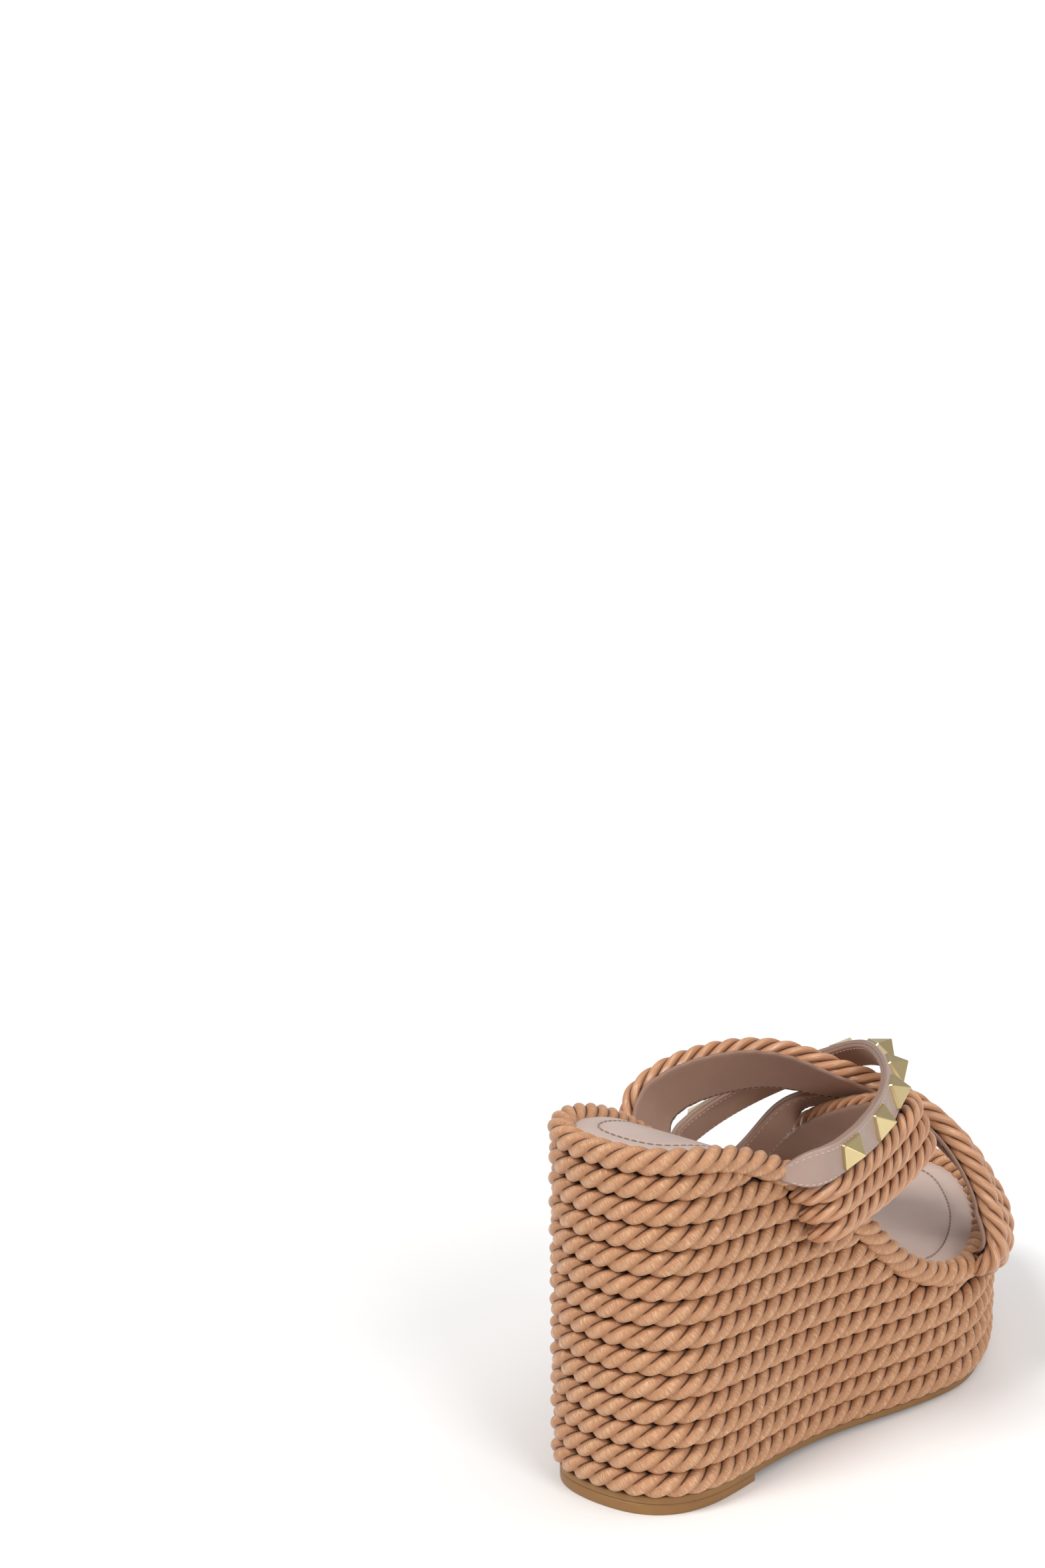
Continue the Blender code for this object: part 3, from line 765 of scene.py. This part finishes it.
for number, points, (first, last), skip in ((1, BAND_1, BAND_1_ROOTS, 1), (2, BAND_2, BAND_2_ROOTS, 13)):
    path = settle(spline(points, 160))
    tangent, out, across = upper_frames(path)
    for place_name, step, turn, cut in zip(("rear", "mid", "front"), (-1, 0, 1), (0.2, 2.6, 4.4),
                                           BAND_CUTS[number]):
        line = tuck((path + across * step * BAND_PITCH)[cut:], first, last)
        made = rope(f"cord_band_{number}_{place_name}", line, out[cut:], BAND_ROPE_R, BAND_ROPE,
                    phase=turn + number, step=0.8, taper=pinch(line, 9.0, 0.5), **BAND_CORD)
        place(made, "rope_satin", f"band_{number}_rope_{place_name}")
    inner = path[skip:-4]
    t, o, a = tangent[skip:-4], out[skip:-4], across[skip:-4]
    lift_by = -(BAND_ROPE_R - 0.2)
    length = run_length(inner)
    wave = 0.18 * np.sin(length * 2 * math.pi / 7.3 + number) + 0.1 * np.sin(length * 2 * math.pi / 3.9)
    inner = tuck(inner, first, last)
    made = ribbon(f"band_{number}_lining_leather", inner, o, a,
                  strip_profile(22.6, lift_by - 1.25, lift_by, roll=0.4, cols=15), LINING, wave,
                  pinch(inner, 12.0, 0.35, 0.9 if number == 1 else 0.35))
    place(made, "leather_lining", f"band_{number}_lining")
    c, d, n = stitch_line(inner, o, a, 10.2, lift_by - 1.27, 2.6, 14.0, length[-1] - 14)
    place(capsules(f"band_{number}_stitching", c, d, -n, 1.9, 0.45, 0.4, SEAM), "leather_lining")


# ---------------------------------------------------------------- straps and studs

def studs(name, path, tangent, out, at_list):
    """Pyramid studs with a short upright skirt, at the given lengths along a strap."""
    length = run_length(path)
    verts, faces = [], []
    half = STUD_SIDE / 2 + 0.25
    levels = ((0.95, half - 0.05), (1.75, half), (2.75, half - 0.05), (3.05, half - 0.42),
              (3.0 + STUD_H - 1.0, 0.42), (3.0 + STUD_H - 0.7, 0.12))
    for at in at_list:
        here, along, normal = (np.array([np.interp(at, length, f[:, k]) for k in range(3)])
                               for f in (path, tangent, out))
        along = unit(along)
        normal = unit(normal - along * (normal @ along))
        side = np.cross(normal, along)
        first = len(verts)
        for height, size in levels:
            chamfer = min(0.3, size * 0.3)
            for a, b in ((-1, -1), (1, -1), (1, 1), (-1, 1)):
                for swap in ((0, 1) if a * b > 0 else (1, 0)):
                    u = a * (size - (chamfer if swap == 1 else 0))
                    v = b * (size - (chamfer if swap == 0 else 0))
                    verts.append(here + normal * (height - 0.25) + along * u + side * v)
        for r in range(len(levels) - 1):
            for k in range(8):
                p, q = first + r * 8 + k, first + r * 8 + (k + 1) % 8
                faces.append((p, q, q + 8, p + 8))
        faces.append(tuple(first + k for k in range(8))[::-1])
        faces.append(tuple(first + (len(levels) - 1) * 8 + k for k in range(8)))
    return make_mesh(name, verts, faces, GOLD, False)


for letter, points, at_list, (first, last) in (("a", STRAP_A, STUDS_A, STRAP_A_ROOTS),
                                               ("b", STRAP_B, STUDS_B, STRAP_B_ROOTS)):
    path = settle(spline(points, 180))
    tangent, out, across = upper_frames(path)
    if letter == "b":
        ease = np.clip(1 - (run_length(path)[-1] - run_length(path)) / 45.0, 0, 1)
        path = path + out * (1.6 * ease)[:, None]
    strip = tuck(path, first, last, 18.0)
    narrow = pinch(strip, 15.0, 0.2)
    strap = ribbon(f"strap_{letter}_leather", strip, out, across,
                   strip_profile(STRAP_W, -0.3, 1.3, 0.12, 0.5, 11), LEATHER, None, narrow)
    place(strap, "leather_upper", f"strap_{letter}")
    back = ribbon(f"strap_{letter}_lining_leather", strip, out, across,
                  strip_profile(STRAP_W - 0.5, -1.6, -0.35, 0.0, 0.4, 9), LINING, None, narrow)
    place(back, "leather_lining", f"strap_{letter}_lining")
    side = across * narrow[:, None]
    end = run_length(strip)[-1] - 4.0
    for k, offset in enumerate((-STRAP_W / 2 + 1.7, STRAP_W / 2 - 1.0)):
        for kind, lift_by, face, slot in (("stitching", 1.32, 1, "leather_upper"),
                                          ("inner_stitching", -1.62, -1, "leather_lining")):
            c, d, n = stitch_line(strip, out, side, offset, lift_by, 2.1, 4.0, end)
            threads = capsules(f"strap_{letter}_{kind}_{k + 1}", c, d, n * face, 1.45, 0.36, 0.4, STITCH)
            place(threads, slot)
    metal = studs(f"studs_{letter}", path, tangent, out, at_list)
    place(metal, "stud_metal", *[f"stud_{letter}{i + 1}" for i in range(len(at_list))])


# ---------------------------------------------------------------- studio

def stage_material():
    """Matt white with a faint mottle."""
    made, nodes, links, shader = new_material("studio_floor", (0.92, 0.92, 0.92), 0.6)
    coords = nodes.new("ShaderNodeTexCoord")
    mottle = node(nodes, "ShaderNodeTexNoise", Scale=3.0, Detail=2.0)
    links.new(coords.outputs["Object"], mottle.inputs["Vector"])
    links.new(mix_colour(nodes, links, mottle.outputs["Fac"], (0.92, 0.92, 0.92), (0.94, 0.94, 0.94)),
              shader.inputs["Base Color"])
    return made


floor_mesh = bpy.data.meshes.new("floor")
floor_mesh.from_pydata([(-14, -6, 0), (14, -6, 0), (14, 22, 0), (-14, 22, 0)], [], [(0, 1, 2, 3)])
floor_mesh.materials.append(stage_material())
floor = bpy.data.objects.new("floor", floor_mesh)
bpy.context.scene.collection.objects.link(floor)

world = bpy.data.worlds.new("studio")
bpy.context.scene.world = world
world.use_nodes = True
world.node_tree.nodes["Background"].inputs[0].default_value = (1.0, 1.0, 1.0, 1)
world.node_tree.nodes["Background"].inputs[1].default_value = 0.42


def soft_light(name, direction, angle, strength, colour=(1, 1, 1)):
    """Sun with a wide disc, shining from the given direction."""
    data = bpy.data.lights.new(name, "SUN")
    data.angle, data.energy, data.color = math.radians(angle), strength, colour
    obj = bpy.data.objects.new(name, data)
    obj.location = Vector(direction)
    obj.rotation_euler = Vector(direction).to_track_quat("Z", "Y").to_euler()
    bpy.context.scene.collection.objects.link(obj)


soft_light("key", (-0.2, -0.75, 1.0), 20.0, 1.6, (1.0, 0.99, 0.97))
soft_light("fill", (1.0, -0.35, 0.75), 26.0, 1.05)
soft_light("top", (0.25, 0.15, 1.0), 40.0, 0.7)

camera_data = bpy.data.cameras.new("camera")
camera_data.lens = 92.963
camera_data.sensor_width = 36.0
camera = bpy.data.objects.new("camera", camera_data)
camera.location = (0.7353, -1.0821, 0.6496)
camera.rotation_euler = (math.radians(72.0744), math.radians(0.5574), math.radians(38.2531))
camera_data.clip_start, camera_data.clip_end = 0.05, 50
bpy.context.scene.collection.objects.link(camera)
bpy.context.scene.camera = camera
bpy.context.scene.view_settings.view_transform = "Standard"
